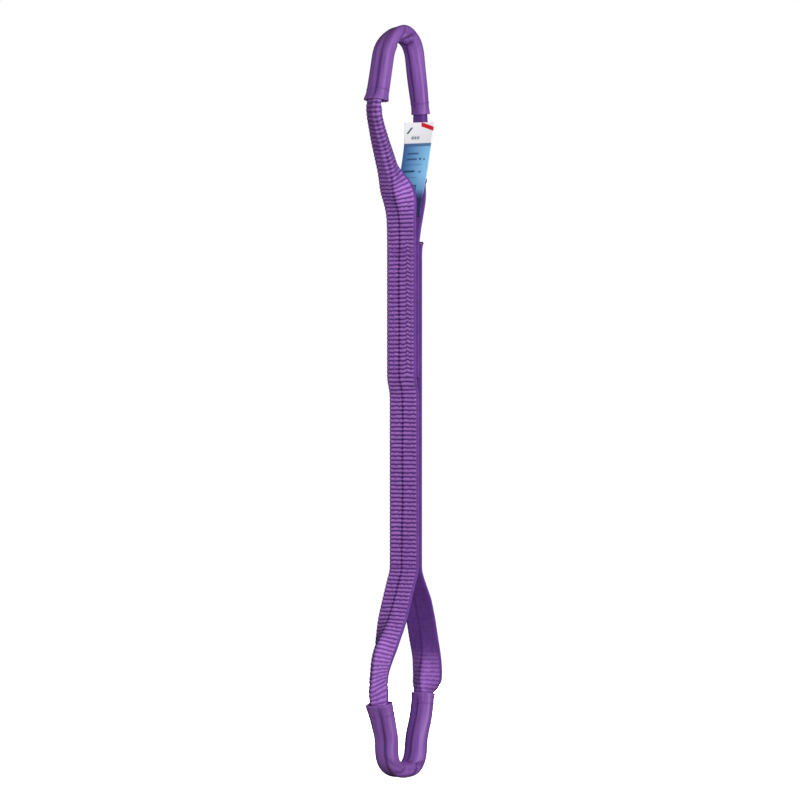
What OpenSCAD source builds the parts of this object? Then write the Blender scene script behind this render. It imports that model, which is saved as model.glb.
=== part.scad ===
// Flat web sling with two sleeved eyes, hanging by its upper eye.
// One length of violet webbing runs round the whole sling: it starts inside the lap, climbs to the
// upper eye, comes back down the full front, turns in the lower eye and climbs the back to the lap.
// +Z runs up the sling, Y across the web, X through the plies. Millimetres.

/* [Webbing] */
// Width of the webbing
web_w = 30; // [26:1:34]
// Thickness of one ply of the webbing
ply_t = 3.2; // [2.4:0.1:3.4]
// Width of the web where it is folded in half for an eye
fold_w = 15.6; // [13:0.2:16]

/* [Eyes] */
// Radius of the round seat that bears on a hook or pin
seat_r = 12.5; // [10:0.5:14]
// Width of an eye sleeve across the web
sleeve_w = 20; // [19:0.5:24]
// Thickness of an eye sleeve, fold and all
sleeve_t = 11.2; // [10.8:0.1:12]
// Thickness of the sleeve fabric
sleeve_skin = 1.4; // [1:0.1:1.6]

/* [Length] */
// Height from the upper seat's axis to the lower seat's axis
seat_to_seat = 556; // [540:2:640]
// Length of the three-ply lap
lap_l = 108; // [90:2:112]

/* [Label] */
// Width of the sewn label
label_w = 29; // [24:1:32]
// Thickness of the sewn label
label_t = 0.8; // [0.5:0.1:1]

/* [Hidden] */

gap = 0.3;
mid_r = seat_r + sleeve_t / 2;              // centreline of a bight
fold_t = 2 * ply_t + 0.2;                   // web folded in half
plane = 8.8;                                // X of the face where front and back ply meet
low_z = -seat_to_seat;                      // axis of the lower seat
low_x = 3;

// flex points of the upper eye, as [x, z]
top_l = [-mid_r, 0];
top_r = [mid_r, 0];
knee_tl = [-28, -45];
knee_tr = [26.5, -47];
throat_tl = [0.5, -117];
throat_tr = [14.5, -117];

// flex points of the lower eye, counted from its seat
low_l = [low_x - mid_r, low_z];
low_r = [low_x + mid_r, low_z];
knee_ll = [-24.5, low_z + 48];
knee_lr = [32, low_z + 54];
throat_ll = [-0.5, low_z + 122];
throat_lr = [19.5, low_z + 122];

// joints down the body
lap_top = -151.5;
lap_end = lap_top - lap_l;
bend_1 = lap_end - 18;
twist_z = bend_1 - 47;
bend_2 = twist_z - 47;
bend_3 = low_z + 148;

violet = [0.42, 0.22, 0.56];
sleeve_violet = [0.36, 0.17, 0.50];
thread = [0.30, 0.15, 0.42];

function unit(v) = v / norm(v);
function nrm(a, b) = let(d = unit(b - a)) [-d[1], d[0]];
function miter(p, i) = i == 0 ? nrm(p[0], p[1]) : i == len(p) - 1 ? nrm(p[i - 1], p[i])
    : let(m = unit(nrm(p[i - 1], p[i]) + nrm(p[i], p[i + 1]))) m / (m * nrm(p[i], p[i + 1]));

// Strip of web along the points p, with thickness t[i] at each one. At each end a and b give the
// setback of the middle and of the two edges, so that neighbours turn about their shared point.
module ribbon(p, t, w, a, b) {
    n = len(p) - 1;
    da = unit(p[1] - p[0]);
    db = unit(p[n - 1] - p[n]);
    na = nrm(p[0], p[1]);
    nb = nrm(p[n - 1], p[n]);
    rotate([90, 0, 0]) linear_extrude(w, center = true) polygon(concat(
        [p[0] + da * a[0], p[0] + da * a[1] + na * t[0] / 2],
        [for (i = [1:1:n - 1]) p[i] + miter(p, i) * t[i] / 2],
        [p[n] + db * b[1] + nb * t[n] / 2, p[n] + db * b[0], p[n] + db * b[2] - nb * t[n] / 2],
        [for (i = [n - 1:-1:1]) p[i] - miter(p, i) * t[i] / 2],
        [p[0] + da * a[2] - na * t[0] / 2]));
}

// end setbacks: a wedge on the centreline, and a slope away from one face of a two-ply hinge
function wedge(t, k) = [gap, gap + k * t / 2, gap + k * t / 2];
function open_plus(k) = [gap + k * ply_t / 2, gap + k * ply_t, gap];
function open_minus(k) = [gap + k * ply_t / 2, gap, gap + k * ply_t];
square_end = [0, 0, 0];

// Everything whose half width across the web at height z follows the pairs [z, half width]
module taper(s) {
    rotate([90, 0, 90]) linear_extrude(160, center = true)
        polygon(concat([for (q = s) [q[1], q[0]]], [for (i = [len(s) - 1:-1:0]) [-s[i][1], s[i][0]]]));
}

// rounded section of a sleeve, thickness in x and width in y
module section(t, w, r) {
    for (sy = [-1, 1]) translate([0, sy * (w / 2 - r)]) for (sx = [-1, 1])
        translate([sx * (t / 2 - r), 0]) circle(r, $fn = 40);
    square([t, w - 2 * r], center = true);
    square([t - 2 * r, w], center = true);
}

module sleeve_section() {
    difference() {
        section(sleeve_t, sleeve_w, 5);
        section(sleeve_t - 2 * sleeve_skin, sleeve_w - 2 * sleeve_skin, 2.6);
    }
}

// web folded in half along its middle, the two halves lying on each other
module fold_section() {
    difference() {
        section(fold_t, fold_w, 1.5);
        translate([0, -1.2]) square([0.2, fold_w], center = true);
    }
}

// half turn of a section about the Y axis, above the seat axis
module half_turn() {
    rotate([90, 0, 0]) rotate_extrude(angle = 180, $fn = 96) translate([mid_r, 0]) children();
}

// straight run of a section from p to q
module run(p, q) {
    d = q - p;
    translate([p[0], 0, p[1]]) rotate([0, atan2(d[0], d[1]), 0]) linear_extrude(norm(d)) children();
}

// wedge-shaped room about the Y axis through p, closing towards d, with slope k
module room(p, d, k) {
    u = unit(d);
    n = [-u[1], u[0]];
    rotate([90, 0, 0]) linear_extrude(60, center = true) polygon([
        p + u * gap, p + u * (gap + 14 * k) + n * 14, p - u * 6 + n * 14, p - u * 6 - n * 14,
        p + u * (gap + 14 * k) - n * 14]);
}

module bight_web(p, q, kp, kq) {
    color(violet) difference() {
        run(p, q) fold_section();
        room(p, q - p, kp);
        room(q, p - q, kq);
    }
}

module bight_sleeve(p, q, kp, kq) {
    color(sleeve_violet) difference() {
        run(p, q) sleeve_section();
        room(p, q - p, kp);
        room(q, p - q, kq);
    }
}

// ring of thread that closes the hem at a sleeve's mouth
module hem_stitch(p, q) {
    u = unit(p - q);
    a = q + u * 9;
    color(thread) run(a, a + u * 1) difference() {
        section(sleeve_t + 0.9, sleeve_w + 0.9, 5.3);
        section(sleeve_t + 0.1, sleeve_w + 0.1, 5.05);
    }
}

module leg(p, m, q, ka, kb) {
    top = max(p[1], q[1]);
    bot = min(p[1], q[1]);
    near_p = p[1] > q[1];
    color(violet) intersection() {
        ribbon([p, m, q], [fold_t, (fold_t + ply_t) / 2, ply_t], web_w, wedge(fold_t, ka), wedge(ply_t, kb));
        taper(near_p
            ? [[top + 4, fold_w / 2], [top - 14, fold_w / 2], [m[1], web_w * 0.42],
               [bot + 14, web_w / 2], [bot - 4, web_w / 2]]
            : [[bot - 4, fold_w / 2], [bot + 14, fold_w / 2], [m[1], web_w * 0.42],
               [top - 14, web_w / 2], [top + 4, web_w / 2]]);
    }
}

// beads of thread along the face x, from z0 up to z1, at each of the rows ys
module thread_rows(x, z0, z1, ys) {
    color(thread) for (y = ys) translate([x, y, (z0 + z1) / 2])
        cube([0.5, 1, z1 - z0], center = true);
}

// upper eye
module web_crown_top() { color(violet) half_turn() fold_section(); }
module sleeve_top_crown() { color(sleeve_violet) half_turn() sleeve_section(); }
module web_bight_top_left() { bight_web(top_l, knee_tl, 0.55, 0.45); }
module web_bight_top_right() { bight_web(top_r, knee_tr, 0.6, 0.45); }
module sleeve_top_left() { bight_sleeve(top_l, knee_tl, 0.55, 0.8); }
module sleeve_top_right() { bight_sleeve(top_r, knee_tr, 0.6, 0.8); }
module hem_stitch_top_left() { hem_stitch(top_l, knee_tl); }
module hem_stitch_top_right() { hem_stitch(top_r, knee_tr); }
module web_leg_top_left() { leg(knee_tl, [-17, -75], throat_tl, 0.5, 0.5); }
module web_leg_top_right() { leg(knee_tr, [22, -75], throat_tr, 0.5, 0.5); }

// three-ply lap and the throat above it
module ply_front_lap() {
    color(violet) ribbon([throat_tl, [plane - 1.5 * ply_t, -150], [plane - 1.5 * ply_t, lap_end - 2],
        [plane - 0.5 * ply_t, lap_end - 12], [plane - 0.5 * ply_t, bend_1]],
        [ply_t, ply_t, ply_t, ply_t, ply_t], web_w, wedge(ply_t, 0.5), open_minus(0.4));
}
module ply_middle_lap() {
    x = plane - ply_t / 2 + 0.02;
    color(violet) ribbon([throat_tr, [x, -150], [x, lap_end]], [ply_t, ply_t - 0.1, ply_t - 0.1],
        web_w, wedge(ply_t, 0.5), square_end);
}
module ply_back_lap() {
    x = plane + ply_t / 2 + 0.02;
    color(violet) ribbon([[x, lap_top], [x, bend_1]], [ply_t, ply_t], web_w, square_end, open_plus(0.4));
}
module stitch_lap() {
    for (y = [-12, -7, 7, 12]) {
        thread_rows(plane - 2 * ply_t - 0.27, lap_end + 6, -154, [y]);
        thread_rows(plane + ply_t + 0.3, lap_end + 6, -154, [y]);
    }
}
module stitch_throat_top() {
    color(thread) for (z = [-157, -161]) translate([plane - 2 * ply_t - 0.8, 0, z])
        cube([0.5, 26, 0.9], center = true);
}

// two-ply body between its flex points
module ply(side, za, zb, k) {
    x = plane + side * (ply_t / 2 + 0.02);
    e = side > 0 ? open_plus(k) : open_minus(k);
    color(violet) ribbon([[x, za], [x, zb]], [ply_t, ply_t], web_w, e, side > 0 ? open_plus(k) : open_minus(k));
}
module ply_front_a() { ply(-1, bend_1, twist_z, 0.4); }
module ply_back_a() { ply(1, bend_1, twist_z, 0.4); }
module ply_front_b() { ply(-1, twist_z, bend_2, 0.4); }
module ply_back_b() { ply(1, twist_z, bend_2, 0.4); }
module ply_front_c() { ply(-1, bend_2, bend_3, 0.4); }
module ply_back_c() { ply(1, bend_2, bend_3, 0.4); }

// lower throat
module ply_front_throat() {
    x = plane - ply_t / 2 - 0.02;
    color(violet) ribbon([[x, bend_3], [x, low_z + 142], throat_ll], [ply_t, ply_t, ply_t],
        web_w, open_minus(0.4), wedge(ply_t, 0.5));
}
module ply_back_throat() {
    x = plane + ply_t / 2 + 0.02;
    color(violet) ribbon([[x, bend_3], [x, low_z + 142], throat_lr], [ply_t, ply_t, ply_t],
        web_w, open_plus(0.4), wedge(ply_t, 0.5));
}
module stitch_throat_low() {
    color(thread) for (s = [-1, 1], z = [low_z + 143.2, low_z + 145.6])
        translate([plane + s * (ply_t + 0.3), 0, z]) cube([0.5, 26, 0.9], center = true);
}

// lower eye
module web_leg_low_left() { leg(knee_ll, [-16, low_z + 85], throat_ll, 0.5, 0.5); }
module web_leg_low_right() { leg(knee_lr, [30, low_z + 88], throat_lr, 0.5, 0.5); }
module web_bight_low_left() { bight_web(low_l, knee_ll, 0.55, 0.45); }
module web_bight_low_right() { bight_web(low_r, knee_lr, 0.6, 0.45); }
module sleeve_low_left() { bight_sleeve(low_l, knee_ll, 0.55, 0.8); }
module sleeve_low_right() { bight_sleeve(low_r, knee_lr, 0.6, 0.8); }
module hem_stitch_low_left() { hem_stitch(low_l, knee_ll); }
module hem_stitch_low_right() { hem_stitch(low_r, knee_lr); }
module web_crown_low() {
    color(violet) translate([low_x, 0, low_z]) mirror([0, 0, 1]) half_turn() fold_section();
}
module sleeve_low_crown() {
    color(sleeve_violet) translate([low_x, 0, low_z]) mirror([0, 0, 1]) half_turn() sleeve_section();
}

// label on the inner face of the upper right leg
module label() {
    color([0.35, 0.60, 0.85]) ribbon([[21, -54.5], [18.3, -75], [11.8, -113]],
        [label_t, label_t, label_t], label_w, square_end, [gap, gap, gap]);
}
module label_tail() {
    color([0.35, 0.60, 0.85]) ribbon([[11.6, -114.5], [8.6, -130]], [label_t, label_t], label_w,
        square_end, square_end);
}
module label_stitch() {
    color(thread) for (y = [-11, 11]) translate([throat_tr[0] - 2.05 + 0.35, y, -113.4])
        cube([0.5, 3, 0.8], center = true);
}

web_crown_top();
web_bight_top_left();
web_bight_top_right();
web_leg_top_left();
web_leg_top_right();
ply_front_lap();
ply_middle_lap();
ply_back_lap();
ply_front_a();
ply_back_a();
ply_front_b();
ply_back_b();
ply_front_c();
ply_back_c();
ply_front_throat();
ply_back_throat();
web_leg_low_left();
web_leg_low_right();
web_bight_low_left();
web_bight_low_right();
web_crown_low();
sleeve_top_crown();
sleeve_top_left();
sleeve_top_right();
sleeve_low_crown();
sleeve_low_left();
sleeve_low_right();
hem_stitch_top_left();
hem_stitch_top_right();
hem_stitch_low_left();
hem_stitch_low_right();
label();
label_tail();
label_stitch();
stitch_lap();
stitch_throat_top();
stitch_throat_low();
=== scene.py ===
import math

import bpy
import numpy as np
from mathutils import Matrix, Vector


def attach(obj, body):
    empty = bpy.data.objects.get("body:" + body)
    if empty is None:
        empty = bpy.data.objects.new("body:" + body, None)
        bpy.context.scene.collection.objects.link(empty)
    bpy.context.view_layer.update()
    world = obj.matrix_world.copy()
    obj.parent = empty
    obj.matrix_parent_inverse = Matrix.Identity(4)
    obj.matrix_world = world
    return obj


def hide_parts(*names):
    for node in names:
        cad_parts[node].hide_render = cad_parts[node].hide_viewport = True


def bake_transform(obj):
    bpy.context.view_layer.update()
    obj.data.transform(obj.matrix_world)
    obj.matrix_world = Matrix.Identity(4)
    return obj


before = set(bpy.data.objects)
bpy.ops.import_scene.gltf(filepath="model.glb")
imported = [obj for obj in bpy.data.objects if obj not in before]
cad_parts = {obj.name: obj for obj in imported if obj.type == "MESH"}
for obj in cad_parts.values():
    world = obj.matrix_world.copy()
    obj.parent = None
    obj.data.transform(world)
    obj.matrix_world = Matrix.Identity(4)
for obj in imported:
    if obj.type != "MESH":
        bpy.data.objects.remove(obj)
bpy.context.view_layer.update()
MM = 0.001

# ----------------------------------------
# Studio. A long lens looks at the sling from its front left, level with its middle. One big
# softbox stands by the lens, so faces turned to the eye are bright and edges fall dark, and a
# second one behind the sling lights its far side.
# ----------------------------------------
scene = bpy.context.scene
scene.view_settings.view_transform = "Standard"

LENS_DISTANCE = 4.0                        # metres from the lens to the sling
towards_lens = Vector((-0.73135, -0.68200, 0.0))
aim = Vector((0.0008, -0.0009, -0.2771))
camera = bpy.data.objects.new("camera", bpy.data.cameras.new("camera"))
camera.data.sensor_width = 36.0
camera.data.lens = 56.25 * LENS_DISTANCE   # 0.64 m fills the picture's width
camera.data.clip_start, camera.data.clip_end = 0.1, 100.0
camera.location = aim + towards_lens * LENS_DISTANCE
camera.rotation_mode = "QUATERNION"
camera.rotation_quaternion = (-towards_lens).to_track_quat("-Z", "Y")
scene.collection.objects.link(camera)
scene.camera = camera


def linear(code):
    """Linear RGBA of an sRGB colour written as six hex digits."""
    channels = [int(code[i:i + 2], 16) / 255 for i in (0, 2, 4)]
    return tuple(c / 12.92 if c <= 0.04045 else ((c + 0.055) / 1.055) ** 2.4
                 for c in channels) + (1.0,)


def add(tree, kind, inputs=None, **settings):
    """Adds a node with its settings; inputs gives each socket a value or another socket."""
    node = tree.nodes.new(kind)
    for key, value in settings.items():
        setattr(node, key, value)
    for key, value in (inputs or {}).items():
        if isinstance(value, bpy.types.NodeSocket):
            tree.links.new(value, node.inputs[key])
        else:
            node.inputs[key].default_value = value
    return node


def softbox(name, place, target, width, height, watts, glossy=True):
    """A rectangular lamp at place, turned to target and hidden from the lens."""
    lamp = bpy.data.objects.new(name, bpy.data.lights.new(name, "AREA"))
    lamp.data.shape, lamp.data.size, lamp.data.size_y = "RECTANGLE", width, height
    lamp.data.energy = watts
    lamp.visible_camera, lamp.visible_glossy = False, glossy
    lamp.location = Vector(place)
    lamp.rotation_mode = "QUATERNION"
    lamp.rotation_quaternion = (Vector(target) - Vector(place)).to_track_quat("-Z", "Y")
    scene.collection.objects.link(lamp)


SLING_MIDDLE = (0, 0, -0.28)
softbox("softbox_front", (-1.32, -1.84, 0.10), SLING_MIDDLE, 0.7, 0.9, 68.0)
softbox("softbox_back", (1.46, 1.36, -0.1), SLING_MIDDLE, 0.9, 1.1, 50.0, glossy=False)

# the lens sees a white world, and the sling gets only a faint glow from it
world = bpy.data.worlds.new("studio")
world.use_nodes = True
world.node_tree.nodes.clear()
ambient = add(world.node_tree, "ShaderNodeBackground",
              {"Color": (1, 1, 1, 1), "Strength": 0.06})
white = add(world.node_tree, "ShaderNodeBackground", {"Color": (1, 1, 1, 1), "Strength": 1.0})
seen = add(world.node_tree, "ShaderNodeLightPath")
both = add(world.node_tree, "ShaderNodeMixShader",
           {0: seen.outputs["Is Camera Ray"], 1: ambient.outputs[0], 2: white.outputs[0]})
add(world.node_tree, "ShaderNodeOutputWorld", {"Surface": both.outputs[0]})
scene.world = world

# Pale laminate floor, matt, with no grain to show at this distance. It glows evenly like a light
# table, so it is pure white and takes no shadow.
FLOOR_Z, FLOOR_RADIUS, FLOOR_SIDES = -0.62, 30, 64
floor_mesh = bpy.data.meshes.new("floor")
ring = [(FLOOR_RADIUS * math.cos(a), FLOOR_RADIUS * math.sin(a), FLOOR_Z)
        for a in np.linspace(0, 2 * math.pi, FLOOR_SIDES + 1)[:-1]]
floor_mesh.from_pydata(ring, [], [list(range(FLOOR_SIDES))])
floor = bpy.data.objects.new("floor", floor_mesh)
scene.collection.objects.link(floor)
floor_look = bpy.data.materials.new("pale laminate floor")
floor_look.use_nodes = True
pale = floor_look.node_tree.nodes["Principled BSDF"]
pale.inputs["Base Color"].default_value = linear("F4F4F4")
pale.inputs["Roughness"].default_value = 0.9
pale.inputs["Specular IOR Level"].default_value = 0.1
pale.inputs["Emission Color"].default_value = (1, 1, 1, 1)
pale.inputs["Emission Strength"].default_value = 1.0
floor_mesh.materials.append(floor_look)
floor.visible_diffuse = floor.visible_glossy = False

# ----------------------------------------
# Webbing. One length of 30 mm polyester webbing, woven ribbed on its outer face, runs round the
# whole sling: it starts inside the lap, climbs to the upper eye, comes down the front, turns in
# the lower eye and climbs the back. It is folded in half to pass through each eye sleeve.
# ----------------------------------------
WEB_WIDTH = 30.0
RIB = 3.34                  # spacing of the ribs along the web
RIB_ROWS = 8                # mesh rows in one rib
ROW = RIB / RIB_ROWS        # spacing of mesh rows
CORE = 1.18                 # half thickness under the ribs
RIB_HEIGHT = 0.42
WARP_BUNDLE = 2.0           # width of the warp ends that step in and out together
FOLD_HALF = 3.0             # half width of the round back of a lengthwise fold
TONGUE_SHARE = 0.7          # thickness of a hidden tongue, as a share of the web's
FRONT_X, MIDDLE_X, BACK_X = 4.0, 7.2, 10.4      # middles of the lap's three plies
PLY_FACE = 1.62             # from a ply's middle to the thread lying on it


def boxed(a, x, z, half, power, rise=18.1):
    """Point at a degrees round a bight about (x, z): round at power 2, boxier above it."""
    c, s = math.cos(math.radians(a)), math.sin(math.radians(a))
    return (x + half * math.copysign(abs(c) ** (2 / power), c),
            z + rise * math.copysign(abs(s) ** (2 / power), s))


# The web's middle line: name, X, Z, fold, turn, squeeze, inner ribs. Fold bends each half back
# from the outer face and turn swings the fold's back towards -Y, in degrees. Squeeze gathers the
# web into a sleeve, and inner ribs is how far the ribs show on its inner face. What a row leaves
# out is 0, 0, 1, 0.1: flat, straight, full width and nearly smooth inside.
route = [
    ("hidden_end", 7.2, -259.3),
    ("", 7.2, -152),
    ("", 9.2, -141),
    ("", 12.0, -130),
    ("throat_top_right", 15.0, -117),
    ("", 14.95, -110, -2, -2, 0.97),
    ("", 15.5, -102.5, -8, -8, 0.77),
    ("", 18.2, -98, -26, -26, 0.7),
    ("", 20.8, -93, -54, -52, 0.78),
    ("", 24.0, -84, -78, -74, 0.9),
    ("", 25.8, -72, -84, -80, 0.92),
    ("", 26.6, -57, -86, -80, 0.94),
    ("knee_top_right", 26.3, -47, -87, -82, 0.86),
    ("", 24.9, -38, -88, -86, 0.74),
    ("", 20.4, -13, -88, -90, 0.72),
    ("shoulder_top_right", 18.6, 0, -88, -90, 0.72),
    *[("", *boxed(a, 0, 0, 18.1, 1.9, 17.0), -88, -90, 0.72)
      for a in (20, 40, 60, 80)],
    ("apex_top", 0, 17.0, -88, -90, 0.72),
    *[("", *boxed(a, 0, 0, 16.6, 1.5, 17.0), 88, 90, 0.72)
      for a in (100, 120, 140, 160)],
    ("shoulder_top_left", -17.0, 0, 88, 90, 0.72),
    ("", -20.4, -15, 88, 90, 0.72),
    ("", -24.0, -30, 88, 84, 0.74),
    ("", -25.2, -34, 85, 74, 0.84),
    ("", -26.4, -38.5, 77, 60, 0.98),
    ("knee_top_left", -27.0, -43.5, 73, 52),
    ("", -26.8, -49, 75, 53),
    ("", -25.6, -54, 74, 53),
    ("", -23.2, -61, 73, 54),
    ("", -20.4, -69, 70, 54),
    ("", -17.0, -77, 68, 55),
    ("", -13.8, -85, 65, 54),
    ("", -10.6, -93, 64, 55),
    ("", -7.0, -101, 54, 48),
    ("", -3.4, -109, 37, 32),
    ("throat_top_left", 0.2, -117, 17, 13),
    ("", 2.4, -125, 6, 4),
    ("", 3.5, -133, 1),
    ("lap_top", 4.0, -150),
    ("lap_low", 4.0, -261),
    ("", 7.2, -271.5),
    ("bend_upper", 7.2, -277.5),
    ("cut_a", 7.2, -301),
    ("cut_b", 7.2, -348),
    ("cut_c", 7.2, -390),
    ("", 7.2, -414),
    ("cut_throat_left", 4.1, -421),
    ("", -1.8, -437, 2),
    ("", -6.6, -450, 5),
    ("", -9.6, -456.5, 10, -2),
    ("cut_leg_left", -16.4, -469, 30, -7),
    ("", -19.6, -475.5, 46, -6, 0.97),
    ("", -22.2, -482, 58, -4, 0.93),
    ("", -23.8, -488.5, 66, 2, 0.90),
    ("", -24.7, -495, 74, 4, 0.88),
    ("knee_low_left", -25.1, -501.5, 79, -2, 0.88),
    ("", -25.0, -508, 82, -16, 0.94),
    ("", -24.0, -514.5, 86, -36, 0.94),
    ("", -22.6, -520, 88, -62, 0.84),
    ("cut_bight_left", -17.8, -533, 88, -88, 0.74),
    ("", -13.8, -547, 88, -90, 0.72),
    *[("", *boxed(180 + a, 3, -556, 16.8, 2.4), 88, -90, 0.72)
      for a in range(0, 90, 10)],
    ("apex_low", 3, -573.7, 88, -90, 0.72),
    *[("", *boxed(180 + a, 3, -556, 17.6, 2.4), -88, -90, 0.72)
      for a in range(100, 190, 10)],
    ("", 21.6, -547, -88, -90, 0.72),
    ("cut_bight_right", 26.2, -533, -88, -90, 0.74, 0.4),
    ("", 28.4, -521, -86, -84, 0.8, 0.9),
    ("", 29.3, -512, -64, -40, 0.95, 0.65),
    ("knee_low_right", 30.8, -501, -36, -10, 1, 0.65),
    ("", 31.8, -485, -14, 0, 1, 0.6),
    ("", 31.2, -479, -8, 0, 1, 0.15),
    ("cut_leg_right", 29.4, -469, -3),
    ("", 26.2, -453),
    ("", 21.7, -437),
    ("throat_low_right", 20.2, -434),
    ("cut_throat_right", 13.5, -421),
    ("", 10.4, -414),
    ("back_cut_c", 10.4, -390),
    ("back_cut_b", 10.4, -348),
    ("back_cut_a", 10.4, -301),
    ("back_lap_low", 10.4, -262),
    ("", 10.5, -157),
    ("seared_end", 11.8, -151.5),
]
marks = np.array([r[1:] + (0, 0, 1, 0.1)[len(r) - 3:] for r in route], float)
paced = np.concatenate([[0], np.cumsum(np.hypot(*np.diff(marks[:, :2], axis=0).T))])
along = np.arange(0, paced[-1], ROW)
SPREAD = 7                  # rows that a bend in the web takes up
HELD = 20                   # rows on each side of an apex where fold and turn keep still


def eased(values):
    """Values along the web with their corners rounded off over SPREAD rows."""
    reach = 3 * SPREAD
    kernel = np.exp(-0.5 * (np.arange(-reach, reach + 1) / SPREAD) ** 2)
    wide = np.pad(values, reach, mode="reflect", reflect_type="odd")
    return np.convolve(wide, kernel / kernel.sum(), "valid")


line_x, line_z, fold, turn, squeeze, inner_ribs = (
    np.interp(along, paced, marks[:, i]) for i in range(6))
line_x, line_z, squeeze, inner_ribs = map(eased, (line_x, line_z, squeeze, inner_ribs))
row_of = {r[0]: int(round(p / RIB)) * RIB_ROWS for r, p in zip(route, paced) if r[0]}
# the halves are folded over the other way on the far side of each apex, so each run is eased alone
turns = [0, row_of["apex_top"] + 1, row_of["apex_low"] + 1, len(along)]
for start in turns[1:3]:
    for bends in (fold, turn):
        bends[start:start + HELD] = bends[start + HELD]
        bends[start - HELD:start] = bends[start - HELD - 1]
fold, turn = (np.concatenate([eased(v[i:j]) for i, j in zip(turns, turns[1:])])
              for v in (fold, turn))
tan_x, tan_z = np.gradient(line_x), np.gradient(line_z)
tan_x, tan_z = tan_x / np.hypot(tan_x, tan_z), tan_z / np.hypot(tan_x, tan_z)
out_x, out_z = tan_z, -tan_x


def mesh_object(name, verts, faces, attributes):
    """A smooth closed mesh in metres whose faces point out, with float or vector attributes."""
    points = np.asarray(verts) * MM
    tri = np.array([f[:3] for f in faces] + [(f[0], f[2], f[3]) for f in faces if len(f) == 4])
    a, b, c = points[tri[:, 0]], points[tri[:, 1]], points[tri[:, 2]]
    inside_out = np.einsum("ij,ij->i", a, np.cross(b, c)).sum() < 0
    mesh = bpy.data.meshes.new(name)
    mesh.from_pydata(points.tolist(), [], [f[::-1] for f in faces] if inside_out else faces)
    mesh.shade_smooth()
    for key, values in attributes.items():
        values = np.asarray(values, np.float32)
        vector = values.ndim == 2
        made = mesh.attributes.new(key, "FLOAT_VECTOR" if vector else "FLOAT", "POINT")
        made.data.foreach_set("vector" if vector else "value", values.ravel())
    thing = bpy.data.objects.new(name, mesh)
    scene.collection.objects.link(thing)
    return thing


def tube_faces(index):
    """Quads between rings of points, whose numbers are the rows of index."""
    p, q = index[:-1], index[1:]
    return np.stack([p, np.roll(p, -1, 1), np.roll(q, -1, 1), q], 2).reshape(-1, 4)


ACROSS = np.linspace(-WEB_WIDTH / 2, WEB_WIDTH / 2, 61)


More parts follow.
